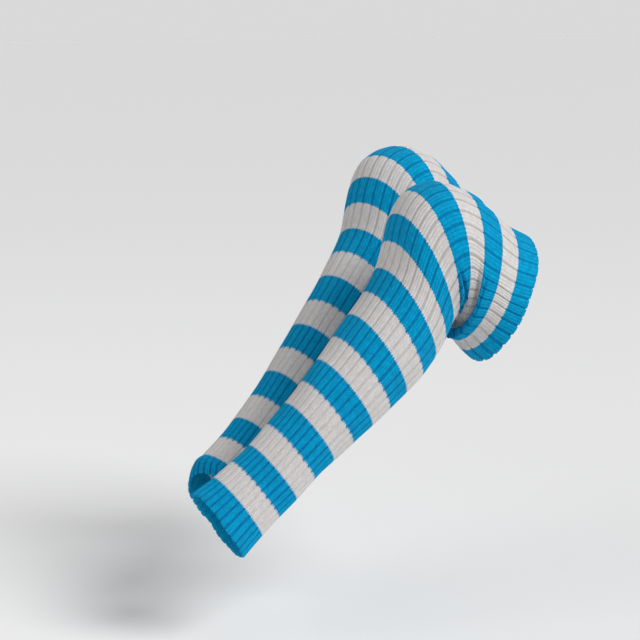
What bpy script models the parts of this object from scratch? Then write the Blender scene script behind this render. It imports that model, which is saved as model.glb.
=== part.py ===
"""Pair of over-the-knee ribbed knit leg warmers, worn: two striped tubes that bend at the knee.

The wearer faces -X and +Z is up. The origin lies midway between the two knees.
"""

from collections import namedtuple
from math import cos, pi, sin, tau

import bpy
import numpy as np

# Driving sizes, in millimetres
metresPerMm = 0.001
stripes = 19  # ten blue and nine white, from the ankle hem (stripe edge 0) to the thigh hem (19)
ribs = 28  # round the tube, each three knit stitches wide with one purl stitch as the groove
wall = 3.0  # cloth at the top of a rib
grooveDepth = 1.5
outerPointsPerRib = 3  # one in the groove and two on the rib
frontFullness = 2.15  # of a section's front half: 2 would make it half an ellipse
kneeMiddle = (-17.0, 72.0)  # from the hollow of the knee, along +X and +Z
shinSlope = 50.0  # degrees above the ground, in the table of sections
pullStart = 30.0  # below the hollow of the knee, along the shin: a pulled tube is longer from here down

# A section of a worn tube, in the leg's own plane, in millimetres from the hollow of the knee.
# stripe            stripe edge that the section lies on
# frontOut, frontUp where it meets the front line of the leg: along +X, and along +Z
# backOut, backUp   where it meets the back line
# width             from side to side
# backFullness      of its back half, which hangs to a blunt point under the thigh
Section = namedtuple("Section", "stripe frontOut frontUp backOut backUp width backFullness")
sections = (
    Section(0, -288, -181, -240, -253, 86, 2.15),
    Section(1, -265, -166, -219, -231, 79, 2.15),
    Section(3, -225, -134, -180, -195, 76, 2.15),
    Section(5, -184, -91, -137, -157, 82, 2.15),
    Section(7, -146, -47, -94, -122, 94, 2.15),
    Section(9, -109, 0, -56, -89, 106, 2.15),
    Section(11, -76, 48, -23, -55, 114, 2.15),
    Section(13, -58, 106, -4, -20, 124, 2.15),
    Section(14, -42, 130, 0, -12, 130, 2.1),
    Section(15, -13, 140, 4, -8, 134, 2.0),
    Section(16, 17, 130, 4, -21, 138, 1.9),
    Section(16.5, 31, 120, 1, -33, 139, 1.85),
    Section(17, 45, 109, 11, -36, 140, 1.8),
    Section(18, 67, 91, 21, -47, 140, 1.8),
    Section(19, 92, 78, 36, -60, 140, 1.8),
)

# A soft trough that runs round the tube, deepest in the hollow of the knee.
# stripe  where its middle lies, in stripe edges
# reach   how far it runs from the back towards the front, in degrees
# spread  half its width, in stripes
# depth   in millimetres
Crease = namedtuple("Crease", "stripe reach spread depth")
creases = (
    Crease(13.4, 60, 0.5, 2.0),
    Crease(14.55, 105, 0.45, 4.0),
    Crease(15.55, 115, 0.45, 4.0),
    Crease(16.5, 95, 0.45, 3.0),
)

# How one leg is held.
# side            middle of the knee along Y
# kneeOut, kneeUp middle of the knee from the origin, along +X and along +Z
# steeper         degrees that the shin stands steeper than in the table of sections
# yaw             degrees that the leg turns about the vertical, its hip end towards +Y
# pulled          how much longer the shin's stripes are pulled, as a share
# tuck, puff      how far the front of the ankle hem is drawn in, and the stripe above it puffs out
# rise, riseAt    how far the ankle hem rides up the shin, and where: degrees from the front towards -Y
Pose = namedtuple("Pose", "name side kneeOut kneeUp steeper yaw pulled tuck puff rise riseAt")
poses = (
    Pose("leg_warmer_left", -90, -18.5, -13, 0, 0, 0, 0, 0, 0, 0),
    Pose("leg_warmer_right", 90, 18.5, 12, 0.5, 16, 0.11, 12, 6, 13, 50),
)

# Rows of points round the tube: one at each stripe edge, and closer where the knee creases the cloth
creasedFrom = 12
creasedTo = 17
rowsPerStripe = 3
ringStripes = (
    [0.0, 0.5]
    + [float(edge) for edge in range(1, creasedFrom)]
    + [creasedFrom + i / rowsPerStripe for i in range((creasedTo - creasedFrom) * rowsPerStripe)]
    + [float(edge) for edge in range(creasedTo, stripes + 1)]
)


def columnAt(table, column, stripe):
    """The table's column at any stripe edge, on a smooth curve through its rows."""
    at = [row.stripe for row in table]
    values = [getattr(row, column) for row in table]
    last = len(at) - 1
    i = min(max(0, int(np.searchsorted(at, stripe, side="right")) - 1), last - 1)

    def slope(k):
        below, above = max(k - 1, 0), min(k + 1, last)
        return (values[above] - values[below]) / (at[above] - at[below])

    step = at[i + 1] - at[i]
    t = (stripe - at[i]) / step
    return (
        values[i] * (2 * t**3 - 3 * t**2 + 1)
        + values[i + 1] * (3 * t**2 - 2 * t**3)
        + slope(i) * step * (t**3 - 2 * t**2 + t)
        + slope(i + 1) * step * (t**3 - t**2)
    )


def turned(points, degrees):
    """Points of the leg's plane (X, Z) turned anticlockwise about its origin."""
    angle = np.radians(degrees)
    return points @ np.array([[cos(angle), sin(angle)], [-sin(angle), cos(angle)]])


def creaseDepth(stripe, fromBack):
    """How far the cloth is pushed in at this stripe and angle from the back line."""
    depth = 0
    for crease in creases:
        along = np.clip(abs(stripe - crease.stripe) / crease.spread, 0, 1)
        round_ = np.clip(fromBack / np.radians(crease.reach), 0, 1)
        depth += crease.depth * (0.5 + 0.5 * np.cos(pi * along)) * (0.5 + 0.5 * np.cos(pi * round_))
    return depth


def rounded(share, fullness):
    """Sines or cosines eased so that the section is fuller than an ellipse, or less full."""
    return np.sign(share) * np.abs(share) ** (2 / fullness)


def sectionEnds(pose, stripe):
    """Where a section meets the front line and the back line, in the leg's plane."""
    front = np.array([columnAt(sections, "frontOut", stripe), columnAt(sections, "frontUp", stripe)])
    back = np.array([columnAt(sections, "backOut", stripe), columnAt(sections, "backUp", stripe)])
    outward = (front - back) / np.linalg.norm(front - back)
    hemShare = max(1 - stripe, 0)
    front = front + outward * (pose.puff * sin(pi * hemShare) - pose.tuck * hemShare)
    along = np.array([cos(np.radians(shinSlope)), sin(np.radians(shinSlope))])
    return [end + along * pose.pulled * min(end @ along + pullStart, 0) for end in (front, back)]


def ringPoints(pose, stripe, pointsRound):
    """Points round the tube at a stripe edge, from the front line: in the leg's plane and across it."""
    front, back = sectionEnds(pose, stripe)
    angle = np.arange(pointsRound) * tau / pointsRound
    backFullness = columnAt(sections, "backFullness", stripe)
    fullness = np.where(np.cos(angle) < 0, backFullness, frontFullness)
    plane = (front + back) / 2 + np.outer(rounded(np.cos(angle), fullness), (front - back) / 2)
    across = -rounded(np.sin(angle), fullness) * columnAt(sections, "width", stripe) / 2
    up = pose.rise * (0.5 + 0.5 * np.cos(angle - np.radians(pose.riseAt))) * max(1 - stripe, 0)
    plane += np.outer(up, (cos(np.radians(shinSlope)), sin(np.radians(shinSlope))))
    return np.column_stack([plane[:, 0], across, plane[:, 1]])


def surface(pose, pointsRound):
    """The tube's smooth surface over the ribs: its points and the directions that face out."""
    rows = np.array([ringPoints(pose, stripe, pointsRound) for stripe in ringStripes])

    def facing(grid):
        around = np.roll(grid, -1, axis=1) - np.roll(grid, 1, axis=1)
        along = np.gradient(grid, axis=0)
        out = np.cross(around, along)
        return out / np.linalg.norm(out, axis=2, keepdims=True)

    out = facing(rows)
    angle = np.arange(pointsRound) * tau / pointsRound
    fromBack = np.abs(pi - angle)
    for i, stripe in enumerate(ringStripes):
        rows[i] -= out[i] * creaseDepth(stripe, fromBack)[:, None]
    return rows, facing(rows)


def placed(points, pose):
    """Points of a leg's own plane moved to where that leg is held, in metres."""
    plane = turned(points[..., [0, 2]] - kneeMiddle, pose.steeper)
    yaw = np.radians(pose.yaw)
    x = plane[..., 0] * cos(yaw) - points[..., 1] * sin(yaw) + pose.kneeOut
    y = plane[..., 0] * sin(yaw) + points[..., 1] * cos(yaw) + pose.side
    z = plane[..., 1] + pose.kneeUp
    return np.stack([x, y, z], axis=-1) * metresPerMm


def tubeMesh(pose):
    """One knitted wall, ribbed outside and plain inside, with both hems open."""
    outerCount = ribs * outerPointsPerRib
    outer, out = surface(pose, outerCount)
    inGroove = np.arange(outerCount) % outerPointsPerRib == 0
    outerRows = outer - out * (inGroove * grooveDepth)[None, :, None]
    innerRows = (outer - out * wall)[:, inGroove]
    rowCount = len(ringStripes)
    points = np.concatenate([outerRows.reshape(-1, 3), innerRows.reshape(-1, 3)])
    faces, stripeOfFace = [], []

    def outerPoint(row, i):
        return row * outerCount + i % outerCount

    def innerPoint(row, i):
        return rowCount * outerCount + row * ribs + i % ribs

    def addFace(corners, stripe):
        faces.append(corners)
        stripeOfFace.append(stripe)

    for row in range(rowCount - 1):
        stripe = int(ringStripes[row])
        for i in range(outerCount):
            lower = (outerPoint(row, i), outerPoint(row, i + 1))
            upper = (outerPoint(row + 1, i + 1), outerPoint(row + 1, i))
            addFace(lower + upper, stripe)
        for i in range(ribs):
            lower = (innerPoint(row, i + 1), innerPoint(row, i))
            upper = (innerPoint(row + 1, i), innerPoint(row + 1, i + 1))
            addFace(lower + upper, stripe)
    for i in range(ribs):
        for row, stripe in ((0, 0), (rowCount - 1, stripes - 1)):
            overRib = [outerPoint(row, i * outerPointsPerRib + k) for k in range(outerPointsPerRib + 1)]
            hem = overRib + [innerPoint(row, i + 1), innerPoint(row, i)]
            addFace(hem if row else hem[::-1], stripe)
    mesh = bpy.data.meshes.new(pose.name)
    mesh.from_pydata(placed(points, pose).tolist(), [], faces)
    for polygon, stripe in zip(mesh.polygons, stripeOfFace):
        polygon.material_index = stripe % 2
    mesh.shade_smooth()
    return mesh


def yarn(name, red, green, blue):
    material = bpy.data.materials.new(name)
    material.use_nodes = True
    shader = material.node_tree.nodes["Principled BSDF"]
    shader.inputs["Base Color"].default_value = (red, green, blue, 1)
    shader.inputs["Roughness"].default_value = 0.85
    shader.inputs["Metallic"].default_value = 0
    return material


def main():
    for old in list(bpy.data.objects):
        bpy.data.objects.remove(old)
    collection = bpy.data.collections.new("pair_of_leg_warmers")
    bpy.context.scene.collection.children.link(collection)
    for pose in poses:
        warmer = bpy.data.objects.new(pose.name, tubeMesh(pose))
        warmer.data.materials.append(yarn(pose.name + "_turquoise", 0.0, 0.30, 0.56))
        warmer.data.materials.append(yarn(pose.name + "_offwhite", 0.62, 0.58, 0.56))
        collection.objects.link(warmer)


main()
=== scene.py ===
from math import cos, pi, radians, sin, tau

import bpy
import numpy as np
from mathutils import Matrix, Vector


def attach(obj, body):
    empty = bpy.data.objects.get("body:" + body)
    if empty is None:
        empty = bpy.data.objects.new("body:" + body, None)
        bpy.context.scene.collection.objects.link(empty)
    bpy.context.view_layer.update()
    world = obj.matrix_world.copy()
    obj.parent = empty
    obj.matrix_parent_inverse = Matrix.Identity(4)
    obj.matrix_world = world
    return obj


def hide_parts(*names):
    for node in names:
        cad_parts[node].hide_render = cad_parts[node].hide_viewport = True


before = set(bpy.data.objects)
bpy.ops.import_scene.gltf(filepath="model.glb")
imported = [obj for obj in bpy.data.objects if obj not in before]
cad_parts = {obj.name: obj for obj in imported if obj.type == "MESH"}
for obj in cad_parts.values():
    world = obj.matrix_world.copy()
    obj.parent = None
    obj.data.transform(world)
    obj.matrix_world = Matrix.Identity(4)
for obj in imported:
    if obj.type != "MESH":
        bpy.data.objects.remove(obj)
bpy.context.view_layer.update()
print("frame loaded:", ", ".join(sorted(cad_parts)))

mm = 0.001  # a millimetre in metres


# adds one node with its settings, and links or sets its sockets
def addNode(tree, kind, settings=None, sockets=None):
    node = tree.nodes.new("ShaderNode" + kind)
    for name, value in (settings or {}).items():
        setattr(node, name, value)
    for socket, value in (sockets or {}).items():
        if isinstance(value, bpy.types.NodeSocket):
            tree.links.new(value, node.inputs[socket])
        else:
            node.inputs[socket].default_value = value
    return node


# an sRGB hex colour as the linear one that a shader wants
def linear(hexColour):
    shares = [int(hexColour[i:i + 2], 16) / 255 for i in (1, 3, 5)]
    return tuple(c / 12.92 if c <= 0.04045 else ((c + 0.055) / 1.055) ** 2.4 for c in shares) + (1,)


def newMaterial(name):
    material = bpy.data.materials.new(name)
    material.use_nodes = True
    return material, material.node_tree, material.node_tree.nodes["Principled BSDF"]


camera = {
    "azimuth": -22,  # degrees; 0 looks along +Y
    "elevation": 9,
    "distance": 2.2,  # metres, to the middle of the near knee
    "nearKnee": (-0.0185, -0.090, -0.013),
    "kneePixel": (432.3, 243.7),  # where that knee lies in the 640 x 640 frame
    "framePixels": 640,
    "focalPixels": 2037,  # the focal length, in pixels of that frame
    "sensor": 36,  # mm
}


def backwards(azimuth, elevation):
    a, e = radians(azimuth), radians(elevation)
    return Vector((sin(a) * cos(e), -cos(a) * cos(e), sin(e)))


def makeCamera(c):
    back = backwards(c["azimuth"], c["elevation"])
    right = Vector((cos(radians(c["azimuth"])), sin(radians(c["azimuth"])), 0))
    up = back.cross(right)
    perPixel = c["distance"] / c["focalPixels"]
    toRight = (c["kneePixel"][0] - c["framePixels"] / 2) * perPixel
    toTop = (c["framePixels"] / 2 - c["kneePixel"][1]) * perPixel
    place = Vector(c["nearKnee"]) + back * c["distance"] - right * toRight - up * toTop
    data = bpy.data.cameras.new("photoCamera")
    data.sensor_width = c["sensor"]
    data.lens = c["focalPixels"] / c["framePixels"] * c["sensor"]
    shot = bpy.data.objects.new("photoCamera", data)
    bpy.context.scene.collection.objects.link(shot)
    shot.matrix_world = Matrix.Translation(place) @ Matrix((right, up, back)).transposed().to_4x4()
    bpy.context.scene.camera = shot


makeCamera(camera)

studio = {
    "aim": (-0.08, 0.0, -0.12),  # metres: what the softboxes face
    # a far, wide softbox: azimuth, elevation, degrees across, watts a square metre
    "key": (32, 40, 30, 2.4),
    "softboxes": {  # azimuth, elevation, metres away, metres across, watts
        "fillSoftbox": (-80, 30, 3.0, 2.0, 15),
        "topSoftbox": (150, 64, 3.0, 2.0, 4),
    },
    "backdropLight": 0.71,  # low down, where it meets the floor
    "roomLight": 0.26,  # higher up
    "backdropFade": (0.02, 0.14),  # where one turns into the other, as sines of the height
    "roomColour": "#FDFDFE",
    "floorHeight": -0.43,  # metres: some way below the ankle hems
    "floorAcross": 60,
    "floorColour": "#FAFAFA",
    "floorRoughness": 0.95,
}


def makeStudio(s):
    scene = bpy.context.scene
    scene.view_settings.view_transform = "Standard"
    world = bpy.data.worlds.new("paleRoom")
    world.use_nodes = True
    background = world.node_tree.nodes["Background"]
    background.inputs["Color"].default_value = linear(s["roomColour"])
    facing = addNode(world.node_tree, "TexCoord").outputs["Generated"]
    height = addNode(world.node_tree, "SeparateXYZ", sockets={"Vector": facing}).outputs["Z"]
    fadeFrom, fadeTo = s["backdropFade"]
    glow = addNode(world.node_tree, "MapRange", sockets={
        "Value": height, "From Min": fadeFrom, "From Max": fadeTo,
        "To Min": s["backdropLight"], "To Max": s["roomLight"]})
    world.node_tree.links.new(glow.outputs[0], background.inputs["Strength"])
    scene.world = world
    azimuth, elevation, across, strength = s["key"]
    sun = bpy.data.lights.new("keyLight", "SUN")
    sun.angle = radians(across)
    sun.energy = strength
    key = bpy.data.objects.new("keyLight", sun)
    key.rotation_euler = backwards(azimuth, elevation).to_track_quat("Z", "Y").to_euler()
    scene.collection.objects.link(key)
    for name, (azimuth, elevation, away, across, watts) in s["softboxes"].items():
        data = bpy.data.lights.new(name, "AREA")
        data.shape = "DISK"
        data.size = across
        data.energy = watts
        box = bpy.data.objects.new(name, data)
        back = backwards(azimuth, elevation)
        box.location = Vector(s["aim"]) + back * away
        box.rotation_euler = back.to_track_quat("Z", "Y").to_euler()
        scene.collection.objects.link(box)
    half = s["floorAcross"] / 2
    floorCorners = [(x * half, y * half, s["floorHeight"])
                    for x, y in ((-1, -1), (1, -1), (1, 1), (-1, 1))]
    mesh = bpy.data.meshes.new("floor")
    mesh.from_pydata(floorCorners, [], [(0, 1, 2, 3)])
    floor = bpy.data.objects.new("floor", mesh)
    scene.collection.objects.link(floor)
    # matt seamless paper: a plain pale floor with next to no gloss
    material, _, shader = newMaterial("seamlessPaper")
    shader.inputs["Base Color"].default_value = linear(s["floorColour"])
    shader.inputs["Roughness"].default_value = s["floorRoughness"]
    mesh.materials.append(material)


makeStudio(studio)
print("camera, lights and floor made")

knit = {
    "ribs": 28,  # round the tube
    "stitchesPerRib": 4,  # three knit stitches and one purl stitch, which is the groove
    "stripes": 19,  # even ones turquoise, odd ones off-white, from the ankle
    # rows of stitches in a 30 mm stripe: the real ones, about 14, are too fine to show, so these are
    # drawn coarser
    "coursesPerStripe": 11,
    "purlHalf": (0.125, 0.055),  # half the purl column's width, in ribs, at the ankle and the thigh hem
    "wall": 3.0,  # mm, at the top of a rib
    # the next four: at the ankle, at the calf and at the thigh, where the rib is stretched most
    "grooveDepth": (1.4, 1.05, 0.85),  # mm
    "grooveHalf": (0.22, 0.19, 0.09),  # half the groove's width, in ribs
    "ribCrown": (0.9, 0.5, 0.2),  # mm that a rib stands higher in its middle
    "stitchRound": (0.26, 0.24, 0.16),  # mm that each column of stitches stands out
    "stretches": (0, 0.53, 1),  # the stretch of the rib at those three places
    "insideRidge": 0.7,  # mm that a groove's column of stitches stands out on the inside
    "drawnTogether": 0.5,  # share of its stretch that the rib loses under the thigh, where it gathers
    "underThighShape": 4,  # how narrow that part of the tube is, as a power
}

# the worn tube's sections, in mm from the hollow of the knee, in the tube's own plane
sections = {
    "stripeEdge": (0, 1, 3, 5, 7, 9, 11, 13, 14, 15, 16, 16.5, 17, 18, 19),
    "frontOut": (-288, -265, -225, -184, -146, -109, -76, -58, -42, -13, 17, 31, 45, 67, 92),
    "frontUp": (-181, -166, -134, -91, -47, 0, 48, 106, 130, 140, 130, 120, 109, 91, 78),
    "backOut": (-240, -219, -180, -137, -94, -56, -23, -4, 0, 4, 4, 1, 11, 21, 36),
    "backUp": (-253, -231, -195, -157, -122, -89, -55, -20, -12, -8, -21, -33, -36, -47, -60),
    "width": (86, 79, 76, 82, 94, 106, 114, 124, 130, 134, 138, 139, 140, 140, 140),
    # of the back half: 2 would make it half an ellipse, and less brings it to a blunt point
    "backFullness": (2.15,) * 8 + (2.1, 2.0, 1.9, 1.85, 1.8, 1.8, 1.8),
}
form = {
    "fullness": 2.15,  # of the front half of each section
    "kneeMiddle": (-17.0, 72.0),  # out and up, in mm from the hollow of the knee
    "shinSlope": 50.0,  # degrees above the floor
    "pullStart": 30.0,  # mm down from the hollow of the knee, where a pulled tube starts to be longer
    "insideSpread": 0.1,  # stripes that a fold is wider to each side on the inside
    "hemWaveReach": 0.6,  # stripes from each hem over which the hem's waves die out
    # how the ribs lie round the tube, by stripe edge: the degrees that those at the back are gathered
    # towards -Y, and that those at the sides lie towards the front
    "ribStripe": (0, 13, 14, 15, 16, 16.5, 17, 18, 19),
    "ribGathered": (0, 0, 5, 14, 24, 28, 31, 32, 32),
    "ribForwards": (0, 0, 0, 0, 0, 4.0, 3.5, 7.0, 11.0),
    "gatherReach": (110, 180),  # degrees from the back line, to -Y and to +Y
}

# rows of points: stripes from and to, rows in each stripe
rowPlan = ((0, 1, 10), (1, 12, 6), (12, 13, 10), (13, 17, 20), (17, 19, 9))
pointsPerRib = 16
insidePerRib = 4

# mm across the cloth's face that it swells and sinks, by waves round and along the tube
swells = (  # waves round, waves along, phase, mm
    (2, 3.1, 0.4, 0.35),
    (3, 5.3, 1.9, 0.30),
    (5, 2.2, 0.7, 0.20),
    (1, 8.7, 2.6, 0.25),
)

leftWarmer = {
    "name": "leftLegWarmer",
    "node": "leg_warmer_left",
    "slot": "left_striped_rib_knit",
    "knee": (-18.5, -90.0, -13.0),  # mm: where its middle lies
    "steeper": 0.0,  # degrees that it stands steeper
    "yaw": 0.0,  # degrees that it turns about the vertical
    "pulled": 0.0,  # share that the shin's stripes are pulled longer
    "tuck": 0.0,  # mm that the front of the ankle hem is drawn in
    "puff": 0.0,  # mm that the stripe above it puffs out
    "rise": 0.0,  # mm that the ankle hem rides up
    "riseAt": 0.0,  # where it does, in degrees from the front towards -Y
    "swellPhase": 0.0,
    "hemWaves": ((3, 0.0, 0.8), (7, 1.1, 0.48)),  # waves round, phase, mm that the hems go up and down
    # folds in the hollow of the knee, in stripes and in degrees from the back line, -Y side negative:
    # stripe edge, slant in stripes a quarter turn, deepest at, reach to -Y, reach to +Y, half width,
    # sharpness as a power, mm deep
    "folds": (
        (13.40, 0.00, 0, 60, 60, 0.50, 1.0, 2.0),
        (14.55, 0.00, 0, 100, 95, 0.45, 1.0, 2.6),
        (15.55, 0.00, 0, 115, 110, 0.45, 1.0, 3.4),
        (16.50, 0.00, 0, 95, 95, 0.45, 1.0, 2.4),
        (14.07, 0.00, -60, 32, 48, 0.20, 1.8, 5.6),
        (15.82, 1.76, -62, 32, 36, 0.20, 1.8, 5.4),
        (15.80, 0.00, -54, 46, 56, 0.34, 1.4, 8.0),
        (16.45, 0.05, -70, 34, 40, 0.18, 1.3, 2.4),
        (14.10, 0.00, 58, 46, 34, 0.20, 1.8, 5.2),
        (15.70, -1.60, 60, 36, 32, 0.20, 1.8, 4.8),
        (15.77, 0.00, 52, 52, 48, 0.33, 1.4, 7.4),
        (16.50, 0.04, 60, 45, 38, 0.18, 1.3, 2.3),
    ),
}

rightWarmer = {
    "name": "rightLegWarmer",
    "node": "leg_warmer_right",
    "slot": "right_striped_rib_knit",
    "knee": (18.5, 90.0, 12.0),
    "steeper": 0.5,
    "yaw": 16.0,
    "pulled": 0.11,
    "tuck": 12.0,
    "puff": 6.0,
    "rise": 13.0,
    "riseAt": 50.0,
    "swellPhase": 2.3,
    "hemWaves": ((3, 2.3, 1.0), (7, 1.1, 0.6)),
    "folds": (
        (13.40, 0.00, 0, 60, 60, 0.50, 1.0, 2.0),
        (14.55, 0.00, 0, 95, 100, 0.45, 1.0, 2.6),
        (15.55, 0.00, 0, 115, 110, 0.45, 1.0, 3.3),
        (16.50, 0.00, 0, 95, 95, 0.45, 1.0, 2.4),
        (14.12, 0.03, 60, 46, 34, 0.20, 1.8, 5.3),
        (15.64, -1.50, 60, 36, 32, 0.20, 1.8, 5.0),
        (15.83, -0.06, 52, 54, 48, 0.34, 1.4, 7.7),
        (16.40, 0.00, 68, 40, 36, 0.18, 1.3, 2.5),
        (14.15, 0.04, -56, 36, 44, 0.20, 1.8, 5.0),
        (15.60, 1.45, -60, 32, 36, 0.19, 1.8, 4.7),
        (15.76, 0.05, -50, 46, 56, 0.33, 1.4, 7.2),
        (16.45, 0.00, -62, 38, 46, 0.18, 1.3, 2.2),
    ),
}


# a column of the sections at any stripe edge, on a smooth curve through its rows
def sectionAt(column, stripe):
    at, values = np.array(sections["stripeEdge"], float), np.array(sections[column], float)
    last = len(at) - 1
    rows = np.arange(last + 1)
    below, above = np.maximum(rows - 1, 0), np.minimum(rows + 1, last)
    slopes = (values[above] - values[below]) / (at[above] - at[below])
    i = np.clip(np.searchsorted(at, stripe, side="right") - 1, 0, last - 1)
    step = at[i + 1] - at[i]
    t = (stripe - at[i]) / step
    start = values[i] * (2 * t**3 - 3 * t**2 + 1) + slopes[i] * step * (t**3 - 2 * t**2 + t)
    end = values[i + 1] * (3 * t**2 - 2 * t**3) + slopes[i + 1] * step * (t**3 - t**2)
    return start + end


# a hump: 1 in the middle, 0 from a distance of 1 on
def hump(distance):
    return 0.5 + 0.5 * np.cos(pi * np.clip(np.abs(distance), 0, 1))


# where round the tube each rib's points lie, for an even spread of ribs
def ribTurns(stripe, angle):
    gathered, forwards = (np.interp(stripe, form["ribStripe"], form[name])[:, None]
                          for name in ("ribGathered", "ribForwards"))
    fromBack = np.degrees(angle)[None, :] - 180
    reach = np.where(fromBack < 0, *form["gatherReach"])
    slid = forwards * np.sin(np.radians(fromBack)) - gathered * hump(fromBack / reach)
    return np.radians(180 + fromBack + slid)


# a section's cosine and sine, fuller than a circle's or less full
def roundShares(stripe, turn):
    backFullness = sectionAt("backFullness", stripe)[:, None]
    fullness = np.where(np.cos(turn) < 0, backFullness, form["fullness"])
    return [np.sign(share) * np.abs(share) ** (2 / fullness) for share in (np.cos(turn), np.sin(turn))]


# the tube with no folds or ribs: rows along it, points round it from the front line towards -Y
def plainTube(tube, stripe, turn):
    front = np.column_stack([sectionAt("frontOut", stripe), sectionAt("frontUp", stripe)])
    back = np.column_stack([sectionAt("backOut", stripe), sectionAt("backUp", stripe)])
    hem = np.maximum(1 - stripe, 0)[:, None]
    outward = (front - back) / np.linalg.norm(front - back, axis=1, keepdims=True)
    front = front + outward * (tube["puff"] * np.sin(pi * hem) - tube["tuck"] * hem)
    slope = radians(form["shinSlope"])
    along = np.array([cos(slope), sin(slope)])
    front, back = (
        end + np.outer(tube["pulled"] * np.minimum(end @ along + form["pullStart"], 0), along)
        for end in (front, back)
    )
    middle, half = (front + back) / 2, (front - back) / 2
    lengthShare, widthShare = roundShares(stripe, turn)
    plane = middle[:, None] + half[:, None] * lengthShare[:, :, None]
    across = -sectionAt("width", stripe)[:, None] / 2 * widthShare
    up = tube["rise"] * (0.5 + 0.5 * np.cos(turn - radians(tube["riseAt"]))) * hem
    plane += up[:, :, None] * along
    return np.stack([plane[..., 0], across, plane[..., 1]], axis=-1)


def unit(vectors):
    return vectors / np.linalg.norm(vectors, axis=-1, keepdims=True)


# the directions up the tube and out of it, at each point
def upAndOut(points):
    around = np.roll(points, -1, axis=1) - np.roll(points, 1, axis=1)
    along = np.gradient(points, axis=0)
    return unit(along), unit(np.cross(around, along))


# mm that the folds push the cloth in; on the inside, round the thick cloth, they are wider by the spread
def foldDepth(tube, stripe, turn, spread):
    fromBack = np.degrees(turn) - 180
    depth = np.zeros(turn.shape)
    for edge, slant, deepest, reachLeft, reachRight, halfWidth, sharpness, deep in tube["folds"]:
        lengthways = (stripe[:, None] - edge - slant * fromBack / 90) / (halfWidth + spread)
        reach = np.where(fromBack < deepest, reachLeft, reachRight)
        depth += deep * hump(lengthways) ** sharpness * hump((fromBack - deepest) / reach)
    return depth


def swell(tube, stripe, turn):
    height = np.zeros(turn.shape)
    for waves, wavesAlong, phase, tall in swells:
        lengthways = (stripe / knit["stripes"] * wavesAlong * tau)[:, None]
        height += tall * np.sin(lengthways + waves * turn + phase + tube["swellPhase"])
    return height


# how far the rib is stretched: 0 at the ankle to 1 at the thigh hem, and less under the thigh
def stretch(stripe, angle):
    share = (stripe / knit["stripes"])[:, None]
    underThigh = (0.5 - 0.5 * np.cos(angle))[None, :] ** knit["underThighShape"]
    return share * (1 - knit["drawnTogether"] * underThigh * share**2)


# a value of the knit that changes with its stretch: at the ankle, the calf and the thigh
def byStretch(name, stripe, angle):
    return np.interp(stretch(stripe, angle), knit["stretches"], knit[name])


# how far each point lies from the nearest groove's middle, in ribs
def fromGroove(angle):
    place = angle / tau * knit["ribs"]
    return np.abs(place - np.round(place))[None, :]


# 1 in the middle of a groove, 0 on the rib
def grooveShare(stripe, angle):
    return hump(fromGroove(angle) / byStretch("grooveHalf", stripe, angle))


# the same distance in columns of stitches: towards the thigh the purl column narrows and the knit
# ones widen
def columnsFromGroove(stripe, angle):
    atAnkle, atThigh = knit["purlHalf"]
    half = atAnkle + (atThigh - atAnkle) * stretch(stripe, angle) ** 2
    inPurl = fromGroove(angle) / half / 2
    inKnit = 0.5 + (fromGroove(angle) - half) * (knit["stitchesPerRib"] - 1) / 2 / (0.5 - half)
    return np.minimum(inPurl, inKnit)


# mm that the ribs and their columns of stitches stand over the smooth tube
def ribRelief(stripe, angle):
    groove = grooveShare(stripe, angle)
    crown = -byStretch("ribCrown", stripe, angle) * (1 - 2 * fromGroove(angle)) ** 2
    columns = np.cos(tau * columnsFromGroove(stripe, angle)) - 1
    stitches = byStretch("stitchRound", stripe, angle) * columns
    return crown + stitches * (1 - groove) - byStretch("grooveDepth", stripe, angle) * groove


# the smooth cloth with its folds, the way up it and the way out of it, in the tube's own plane
def foldedCloth(tube, stripe, angle, spread=0):
    turn = ribTurns(stripe, angle)
    points = plainTube(tube, stripe, turn)
    out = upAndOut(points)[1]
    pushedIn = foldDepth(tube, stripe, turn, spread)
    points = points + out * (swell(tube, stripe, turn) - pushedIn)[:, :, None]
    up, out = upAndOut(points)
    fromHem = np.minimum(stripe, knit["stripes"] - stripe)
    nearHem = hump(fromHem / form["hemWaveReach"])[:, None]
    wander = sum(tall * np.sin(waves * turn + phase) for waves, phase, tall in tube["hemWaves"])
    return points + up * (nearHem * wander)[:, :, None], up, out


# points of the tube's own plane moved to where that tube is held, in metres
def placed(points, tube):
    steeper, yaw = radians(tube["steeper"]), radians(tube["yaw"])
    x0, z0 = points[..., 0] - form["kneeMiddle"][0], points[..., 2] - form["kneeMiddle"][1]
    outwards = x0 * cos(steeper) - z0 * sin(steeper)
    upwards = x0 * sin(steeper) + z0 * cos(steeper)
    x = outwards * cos(yaw) - points[..., 1] * sin(yaw) + tube["knee"][0]
    y = outwards * sin(yaw) + points[..., 1] * cos(yaw) + tube["knee"][1]
    return np.stack([x, y, upwards + tube["knee"][2]], axis=-1) * mm


hem = {
    "ankleScallop": 1.2,  # mm that the edge is drawn back at each groove
    "thighScallop": 1.0,
    "scallopReach": 0.22,  # stripes
    "rollSteps": 3,  # rows of points round the edge
    "rollOut": 0.75,  # how far the rounded edge stands out, in half walls
    "colourInset": 0.02,  # stripes: the rounded edge takes the colour that lies this far in
}


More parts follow.
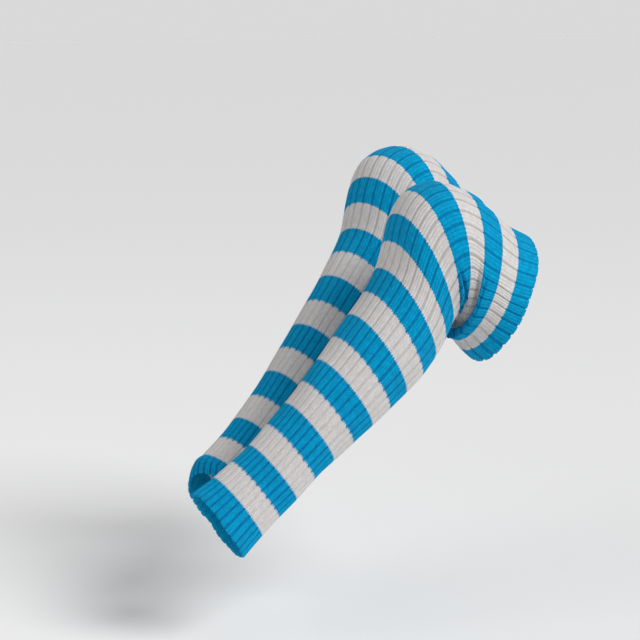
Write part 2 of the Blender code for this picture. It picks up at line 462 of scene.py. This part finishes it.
# the outside, from inside one hem's rounded edge to inside the other's
def outsideRows(tube, stripe, angle):
    points, up, out = foldedCloth(tube, stripe, angle)
    drawnBack = (hem["ankleScallop"] * hump(stripe / hem["scallopReach"])
                 - hem["thighScallop"] * hump((knit["stripes"] - stripe) / hem["scallopReach"]))
    points = points + up * (drawnBack[:, None] * grooveShare(stripe, angle))[:, :, None]
    inner = points - out * knit["wall"]
    outer = points + out * ribRelief(stripe, angle)[:, :, None]

    def roundedEdge(row, sign):
        half = (outer[row] - inner[row]) / 2
        middle = (outer[row] + inner[row]) / 2
        reach = np.linalg.norm(half, axis=1, keepdims=True) * hem["rollOut"]
        turns = [pi * (k + 1) / (hem["rollSteps"] + 1) for k in range(hem["rollSteps"])]
        return [middle + half * cos(turn) + sign * up[row] * reach * sin(turn) for turn in turns]

    return np.array(roundedEdge(0, -1)[::-1] + list(outer) + roundedEdge(-1, 1))


# the plain inside, where each groove's column of stitches shows as a low ridge
def insideRows(tube, stripe, angle):
    points, _, out = foldedCloth(tube, stripe, angle, form["insideSpread"])
    ridge = knit["insideRidge"] * grooveShare(stripe, angle)
    return points - out * (knit["wall"] + ridge)[:, :, None]


# the stripe edges of the rows of points
def rowStripes(plan):
    rows = [start + i / share for start, end, share in plan for i in range((end - start) * share)]
    return np.array(rows + [plan[-1][1]], float)


# how the outside and the inside lie side by side on the map for baking
flatMap = {
    "outside": (0.005, 0.765),  # left edge, width
    "inside": (0.785, 0.205),
    "margin": 0.01,  # below and above
    "hemEdge": 0.003,  # from the bottom and the top, where the hems' joining faces lie
}


# the map that the pattern is drawn through: ribs across, stripes up; and one laid out flat for baking
def addMaps(mesh, rib, stripe, flatAcross, flatUpwards):
    for name, across, up in (("knitMap", rib, stripe), ("OFBake", flatAcross, flatUpwards)):
        layer = mesh.uv_layers.new(name=name)
        layer.uv.foreach_set("vector", np.column_stack([across, up]).astype(np.float32).ravel())
    mesh.uv_layers.active = mesh.uv_layers["knitMap"]


# faces between rows of points round the tube: each corner's point, and its place on both maps
def facesBetween(rows, count, firstPoint, stripeOfRow, upOfRow, side):
    row, i = np.meshgrid(np.arange(rows - 1), np.arange(count), indexing="ij")
    corners = [(row, i), (row, i + 1), (row + 1, i + 1), (row + 1, i)]
    if side == "inside":
        corners.reverse()
    atRow, atPlace = (np.stack(values, axis=-1).reshape(-1, 4) for values in zip(*corners))
    turn = atPlace / count
    left, wide = flatMap[side]
    flatUpwards = flatMap["margin"] + (1 - 2 * flatMap["margin"]) * upOfRow[atRow]
    return (firstPoint + atRow * count + atPlace % count,
            turn * knit["ribs"], stripeOfRow[atRow], left + wide * turn, flatUpwards)


# the faces that join a hem's rounded edge to the inside, in the same terms but corner by corner
def hemFaces(firstOutside, outsideCount, firstInside, insideCount, stripe, flatUpwards):
    ratio = outsideCount // insideCount
    left, wide = flatMap["inside"]
    faces = []
    for i in range(insideCount):
        corners = [(firstOutside + (i * ratio + k) % outsideCount, (i + k / ratio) / insideCount)
                   for k in range(ratio + 1)]
        corners += [(firstInside + (i + k) % insideCount, (i + k) / insideCount) for k in (1, 0)]
        faces.append([(point, turn * knit["ribs"], stripe, left + wide * turn, flatUpwards)
                      for point, turn in corners])
    return faces


def makeLegWarmer(tube, outsideYarn, insideYarn):
    outsideCount, insideCount = knit["ribs"] * pointsPerRib, knit["ribs"] * insidePerRib
    stripe = rowStripes(rowPlan)
    insideStripe = stripe[::2]  # half the rows are enough for the plain inside
    outside = outsideRows(tube, stripe, np.arange(outsideCount) * tau / outsideCount)
    inside = insideRows(tube, insideStripe, np.arange(insideCount) * tau / insideCount)
    points = np.concatenate([outside.reshape(-1, 3), inside.reshape(-1, 3)])

    # where the rows lie on the maps: a rounded edge takes its hem's own colour
    rolls = hem["rollSteps"]
    ankleEdge, thighEdge = hem["colourInset"], knit["stripes"] - hem["colourInset"]
    outsideStripe = np.clip(np.pad(stripe, rolls, mode="edge"), ankleEdge, thighEdge)
    insideStripe = np.clip(insideStripe, ankleEdge, thighEdge)
    lengths = np.linalg.norm(np.diff(outside, axis=0), axis=2).mean(axis=1)
    outsideUp = np.concatenate([[0], np.cumsum(lengths)]) / lengths.sum()
    insideUp = np.interp(insideStripe, stripe, outsideUp[rolls:-rolls])

    firstInside = outsideCount * len(outside)
    outsideFaces, *outsideMaps = facesBetween(
        len(outside), outsideCount, 0, outsideStripe, outsideUp, "outside")
    insideFaces, *insideMaps = facesBetween(
        len(inside), insideCount, firstInside, insideStripe, insideUp, "inside")
    ankle = hemFaces(0, outsideCount, firstInside, insideCount, ankleEdge, flatMap["hemEdge"])
    thigh = hemFaces(outsideCount * (len(outside) - 1), outsideCount,
                     firstInside + insideCount * (len(inside) - 1), insideCount,
                     thighEdge, 1 - flatMap["hemEdge"])
    joins = [face[::-1] for face in ankle] + thigh
    joinFaces = [[corner[0] for corner in face] for face in joins]
    joinMaps = np.array([corner[1:] for face in joins for corner in face]).T
    faces = outsideFaces.tolist() + insideFaces.tolist() + joinFaces
    rib, at, flatAcross, flatUpwards = (
        np.concatenate([values.ravel() for values in places])
        for places in zip(outsideMaps, insideMaps, joinMaps)
    )

    mesh = bpy.data.meshes.new(tube["name"])
    mesh.from_pydata(placed(points, tube).tolist(), [], faces)
    addMaps(mesh, rib, at, flatAcross, flatUpwards)
    mesh.materials.append(outsideYarn)
    mesh.materials.append(insideYarn)
    isInside = np.arange(len(faces)) >= len(outsideFaces)
    mesh.polygons.foreach_set("material_index", isInside.astype(np.int32))
    mesh.shade_smooth()
    warmer = bpy.data.objects.new(tube["name"], mesh)
    bpy.context.scene.collection.objects.link(warmer)
    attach(warmer, "root")
    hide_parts(tube["node"])
    mesh.calc_loop_triangles()
    print(tube["name"], "made:", len(mesh.loop_triangles), "triangles")


yarn = {
    "turquoise": "#00A9D7",
    "turquoisePaintedShade": "#004690",  # painted shade: the darker colour that stands in for the shade where strands shade each other
    "offWhite": "#DBD8D6",
    "offWhitePaintedShade": "#8C8280",
    "legSlant": 1.0,  # courses that a knit stitch's two legs rise from its middle to its sides
    "legDip": 0.5,  # share of their height that those legs lose at their ends
    "middleDip": 0.3,  # height lost between the two legs
    "middleDipShape": 4,  # how narrow that dip is, as a power
    "barArch": 0.4,  # courses that a purl stitch's bar bends
    "columnShape": 0.6,  # how round a column of stitches is, as a power of a sine
    "courseInset": 0.05,  # courses: stitches at the hems keep this far inside them
    "toothCourses": 0.5,  # how far turquoise runs down the grooves past a stripe's ankle edge
    "lessToothed": 0.85,  # share by which that and the zigzag of the stitches fade out at the thigh hem
    "paintedShadeBetweenStitches": (0.12, 0.56),  # share of painted shade between stitches, in off-white and in turquoise
    "paintedShadeInGrooves": (0.14, 0.50),  # the same painted shade, in the grooves between ribs
    "paintedShadeInThighGrooves": 0.55,  # more painted shade in off-white where the rib is stretched and its grooves are thin
    "grooveReach": (0.21, 0.065),  # ribs to each side that the painted groove shade reaches, at the ankle and the thigh hem
    "grooveSoftness": 0.9,  # how they fade out to that reach, as a power
    "stitchToStitch": (0.13, 0.26),  # share of lightness that stitches vary by, off-white and turquoise
    "patch": 60,  # mm across the slow changes in lightness
    "patchShare": 0.10,  # of the lightness
    "fibre": 1.1,  # mm; real ones are far finer, and wouldn't show
    "fibreShare": 0.18,
    "fibreRelief": 0.35,  # share of a stitch's height that the fibres add
    "relief": 0.7,  # mm that a stitch stands out
    "reliefStrength": 0.9,
    "roughness": 0.86,
    "sheen": 0.07,  # the faint nap
    "sheenColour": "#B8E6FF",
    "sheenRoughness": 0.55,
    "specular": 0.04,  # loose fibres scatter nearly all of the gloss
    "ior": 1.47,  # close to solid acrylic's
}


# Acrylic rib knit, spun soft and knitted three and one: matt, with V-shaped stitches in columns, bars of
# purl stitches in the grooves, a faint nap, stripes whose ankle edges are toothed at the grooves, and
# painted shade in the grooves and between stitches
def ribKnit(name, fromInside):
    material, tree, shader = newMaterial(name)
    place = addNode(tree, "UVMap", {"uv_map": "knitMap"})
    split = addNode(tree, "SeparateXYZ", sockets={"Vector": place.outputs["UV"]})
    courses = knit["coursesPerStripe"]
    firstCourse, lastCourse = yarn["courseInset"], knit["stripes"] * courses - yarn["courseInset"]
    betweenWhite, betweenBlue = yarn["paintedShadeBetweenStitches"]
    stitchesWhite, stitchesBlue = yarn["stitchToStitch"]
    grooveWhite, grooveBlue = yarn["paintedShadeInGrooves"]
    reachAtAnkle, reachAtThigh = yarn["grooveReach"]
    purlHalf, purlHalfAtThigh = knit["purlHalf"]
    halfKnit = (knit["stitchesPerRib"] - 1) / 2
    steps = (
        # how far the rib is stretched, as in the mesh
        ("turn", "MULTIPLY", "rib", tau / knit["ribs"]),
        ("turnWave", "COSINE", "turn"),
        ("backShare", "MULTIPLY_ADD", "turnWave", -0.5, 0.5),
        ("underThigh", "POWER", "backShare", knit["underThighShape"]),
        ("tubeShare", "DIVIDE", "stripe", knit["stripes"]),
        ("tubeSquared", "MULTIPLY", "tubeShare", "tubeShare"),
        ("gathered", "MULTIPLY", "underThigh", "tubeSquared"),
        ("stretchKept", "MULTIPLY_ADD", "gathered", -knit["drawnTogether"], 1),
        ("stretch", "MULTIPLY", "tubeShare", "stretchKept"),
        ("thighShare", "MULTIPLY", "stretch", "stretch"),
        # columns of stitches: the purl one narrows towards the thigh
        ("nearestGroove", "ROUND", "rib"),
        ("besideGroove", "SUBTRACT", "rib", "nearestGroove"),
        ("fromGroove", "ABSOLUTE", "besideGroove"),
        ("grooveSide", "SIGN", "besideGroove"),
        ("purlHalf", "MULTIPLY_ADD", "thighShare", purlHalfAtThigh - purlHalf, purlHalf),
        ("purlWidth", "MULTIPLY", "purlHalf", 2),
        ("knitHalf", "SUBTRACT", 0.5, "purlHalf"),
        ("inPurl", "DIVIDE", "fromGroove", "purlWidth"),
        ("pastPurl", "SUBTRACT", "fromGroove", "purlHalf"),
        ("pastPurlShare", "DIVIDE", "pastPurl", "knitHalf"),
        ("inKnit", "MULTIPLY_ADD", "pastPurlShare", halfKnit, 0.5),
        ("columnsOut", "MINIMUM", "inPurl", "inKnit"),
        ("grooveColumn", "MULTIPLY_ADD", "nearestGroove", knit["stitchesPerRib"], 0.5),
        ("column", "MULTIPLY_ADD", "grooveSide", "columnsOut", "grooveColumn"),
        ("columnOfRib", "FLOORED_MODULO", "column", knit["stitchesPerRib"]),
        ("inGroove", "LESS_THAN", "columnOfRib", 1),
        ("acrossColumn", "FRACT", "column"),
        ("fromLeft", "MULTIPLY_ADD", "acrossColumn", 2, -1),
        ("fromMiddle", "ABSOLUTE", "fromLeft"),
        ("course", "MULTIPLY", "stripe", courses),
        # a knit stitch: two legs that rise outwards from the middle of the column
        ("legs", "MULTIPLY_ADD", "fromMiddle", -yarn["legSlant"], "course"),
        ("legsCentred", "ADD", "legs", yarn["legSlant"] / 2),
        ("legsAbove", "MAXIMUM", "legsCentred", firstCourse),
        ("knitCourse", "MINIMUM", "legsAbove", lastCourse),
        ("legPhase", "MULTIPLY", "knitCourse", pi),
        ("legWave", "SINE", "legPhase"),
        ("legRound", "ABSOLUTE", "legWave"),
        ("columnPhase", "MULTIPLY", "column", pi),
        ("columnWave", "SINE", "columnPhase"),
        ("columnAbs", "ABSOLUTE", "columnWave"),
        ("columnRound", "POWER", "columnAbs", yarn["columnShape"]),
        ("towardsMiddle", "SUBTRACT", 1, "fromMiddle"),
        ("middleDip", "POWER", "towardsMiddle", yarn["middleDipShape"]),
        ("legShare", "MULTIPLY_ADD", "legRound", yarn["legDip"], 1 - yarn["legDip"]),
        ("knitSolid", "MULTIPLY", "legShare", "columnRound"),
        ("knitHeight", "MULTIPLY_ADD", "middleDip", -yarn["middleDip"], "knitSolid"),
        # a purl stitch: a bar bent over the column
        ("fromMiddleSquared", "MULTIPLY", "fromMiddle", "fromMiddle"),
        ("barCourse", "MULTIPLY_ADD", "fromMiddleSquared", yarn["barArch"], "course"),
        ("barPhase", "MULTIPLY", "barCourse", pi),
        ("barWave", "SINE", "barPhase"),
        ("barRound", "ABSOLUTE", "barWave"),
        ("purlHeight", "MULTIPLY", "barRound", "columnRound"),
        # which kind of stitch shows: knit on the ribs outside, and in the grooves inside
        ("otherKind", "SUBTRACT", "inGroove", 0 if fromInside else 1),
        ("isKnit", "ABSOLUTE", "otherKind"),
        ("knitOverPurl", "SUBTRACT", "knitHeight", "purlHeight"),
        ("height", "MULTIPLY_ADD", "isKnit", "knitOverPurl", "purlHeight"),
        # turquoise or off-white
        ("toothShare", "MULTIPLY_ADD", "thighShare", -yarn["lessToothed"], 1),
        ("zigzag", "SUBTRACT", "knitCourse", "course"),
        ("toothedCourse", "MULTIPLY_ADD", "zigzag", "toothShare", "course"),
        ("knitStripe", "DIVIDE", "toothedCourse", courses),
        ("knitTurn", "FLOORED_MODULO", "knitStripe", 2),
        ("knitBlue", "LESS_THAN", "knitTurn", 1),
        ("purlTurn", "FLOORED_MODULO", "stripe", 2),
        ("purlBlue", "LESS_THAN", "purlTurn", 1),
        ("toothStripe", "MULTIPLY_ADD", "toothShare", yarn["toothCourses"] / courses, "stripe"),
        ("toothTurn", "FLOORED_MODULO", "toothStripe", 2),
        ("toothBlue", "LESS_THAN", "toothTurn", 1),
        ("purlOrToothBlue", "MAXIMUM", "purlBlue", "toothBlue"),
        ("knitOverPurlBlue", "SUBTRACT", "knitBlue", "purlOrToothBlue"),
        ("isTurquoise", "MULTIPLY_ADD", "isKnit", "knitOverPurlBlue", "purlOrToothBlue"),
        ("stitchNumber", "FLOOR", "column"),
        ("courseNumber", "FLOOR", "knitCourse"),
        # painted shade between stitches and in the grooves: how much of the open colour is left there
        ("heightClear", "MAXIMUM", "height", 0),
        ("depth", "SUBTRACT", 1, "heightClear"),
        ("stitchLoss", "MULTIPLY_ADD", "isTurquoise", betweenBlue - betweenWhite, betweenWhite),
        ("lostByDepth", "MULTIPLY", "stitchLoss", "depth"),
        ("stitchTone", "SUBTRACT", 1, "lostByDepth"),
        # painted shade in the grooves, strongest in each groove's middle and fading out to the reach
        ("whiteLoss", "MULTIPLY_ADD", "thighShare", yarn["paintedShadeInThighGrooves"], grooveWhite),
        ("blueOverWhite", "SUBTRACT", grooveBlue, "whiteLoss"),
        ("grooveLoss", "MULTIPLY_ADD", "isTurquoise", "blueOverWhite", "whiteLoss"),
        ("grooveReach", "MULTIPLY_ADD", "thighShare", reachAtThigh - reachAtAnkle, reachAtAnkle),
        ("outOfGroove", "DIVIDE", "fromGroove", "grooveReach"),
        ("towardsGroove", "SUBTRACT", 1, "outOfGroove"),
        ("nearGroove", "MAXIMUM", "towardsGroove", 0),
        ("grooveShade", "POWER", "nearGroove", yarn["grooveSoftness"]),
        ("lostByGroove", "MULTIPLY", "grooveLoss", 0 if fromInside else "grooveShade"),
        ("grooveTone", "SUBTRACT", 1, "lostByGroove"),
        ("unshadedShare", "MULTIPLY", "grooveTone", "stitchTone"),
        ("stitchShare", "MULTIPLY_ADD", "isTurquoise", stitchesBlue - stitchesWhite, stitchesWhite),
    )
    values = {"rib": split.outputs["X"], "stripe": split.outputs["Y"]}
    for step, operation, *inputs in steps:
        sockets = {i: values[value] if isinstance(value, str) else value
                   for i, value in enumerate(inputs)}
        values[step] = addNode(tree, "Math", {"operation": operation}, sockets).outputs[0]

    stitch = addNode(tree, "CombineXYZ", sockets={
        "X": values["stitchNumber"], "Y": values["courseNumber"]})
    stitchNoise = addNode(tree, "TexWhiteNoise", {"noise_dimensions": "2D"}, {
        "Vector": stitch.outputs[0]})
    object3d = addNode(tree, "TexCoord").outputs["Object"]
    patchNoise = addNode(tree, "TexNoise", sockets={
        "Vector": object3d, "Scale": 1 / (yarn["patch"] * mm)})
    fibreNoise = addNode(tree, "TexNoise", sockets={
        "Vector": object3d, "Scale": 1 / (yarn["fibre"] * mm), "Detail": 3})
    tones = (
        (stitchNoise.outputs["Value"], values["stitchShare"]),
        (patchNoise.outputs["Fac"], yarn["patchShare"]),
        (fibreNoise.outputs["Fac"], yarn["fibreShare"]),
    )
    tone = 1
    for noise, share in tones:
        centred = addNode(tree, "Math", {"operation": "SUBTRACT"}, {0: noise, 1: 0.5})
        varied = addNode(tree, "Math", {"operation": "MULTIPLY_ADD"}, {
            0: centred.outputs[0], 1: share, 2: 1})
        tone = addNode(tree, "Math", {"operation": "MULTIPLY"}, {
            0: tone, 1: varied.outputs[0]}).outputs[0]
    # the yarn's own colours, and the darker ones that paint shade
    openDye, paintedShadeColour = (
        addNode(tree, "Mix", {"data_type": "RGBA"}, {
            0: values["isTurquoise"],
            6: linear(yarn["offWhite" + depth]),
            7: linear(yarn["turquoise" + depth])})
        for depth in ("", "PaintedShade")
    )
    # painted shade: the darker colour is mixed in between stitches and in the grooves
    yarnWithPaintedShade = addNode(tree, "Mix", {"data_type": "RGBA"}, {
        0: values["unshadedShare"], 6: paintedShadeColour.outputs[2], 7: openDye.outputs[2]})
    colour = addNode(tree, "VectorMath", {"operation": "SCALE"}, {0: yarnWithPaintedShade.outputs[2], "Scale": tone})
    tree.links.new(colour.outputs[0], shader.inputs["Base Color"])

    furred = addNode(tree, "Math", {"operation": "MULTIPLY_ADD"}, {
        0: fibreNoise.outputs["Fac"], 1: yarn["fibreRelief"], 2: values["height"]})
    bump = addNode(tree, "Bump", sockets={
        "Height": furred.outputs[0], "Strength": yarn["reliefStrength"], "Distance": yarn["relief"] * mm})
    tree.links.new(bump.outputs[0], shader.inputs["Normal"])
    shader.inputs["Roughness"].default_value = yarn["roughness"]
    shader.inputs["Metallic"].default_value = 0
    shader.inputs["IOR"].default_value = yarn["ior"]
    shader.inputs["Specular IOR Level"].default_value = yarn["specular"]
    shader.inputs["Sheen Weight"].default_value = yarn["sheen"]
    shader.inputs["Sheen Roughness"].default_value = yarn["sheenRoughness"]
    shader.inputs["Sheen Tint"].default_value = linear(yarn["sheenColour"])
    return material


outsideYarn = ribKnit("acrylicRibKnit", False)
insideYarn = ribKnit("acrylicRibKnitInside", True)
print("yarns made")
for tube in (leftWarmer, rightWarmer):
    makeLegWarmer(tube, outsideYarn, insideYarn)


def corners(box):
    return [[round(x, 6) for x in corner] for corner in box]
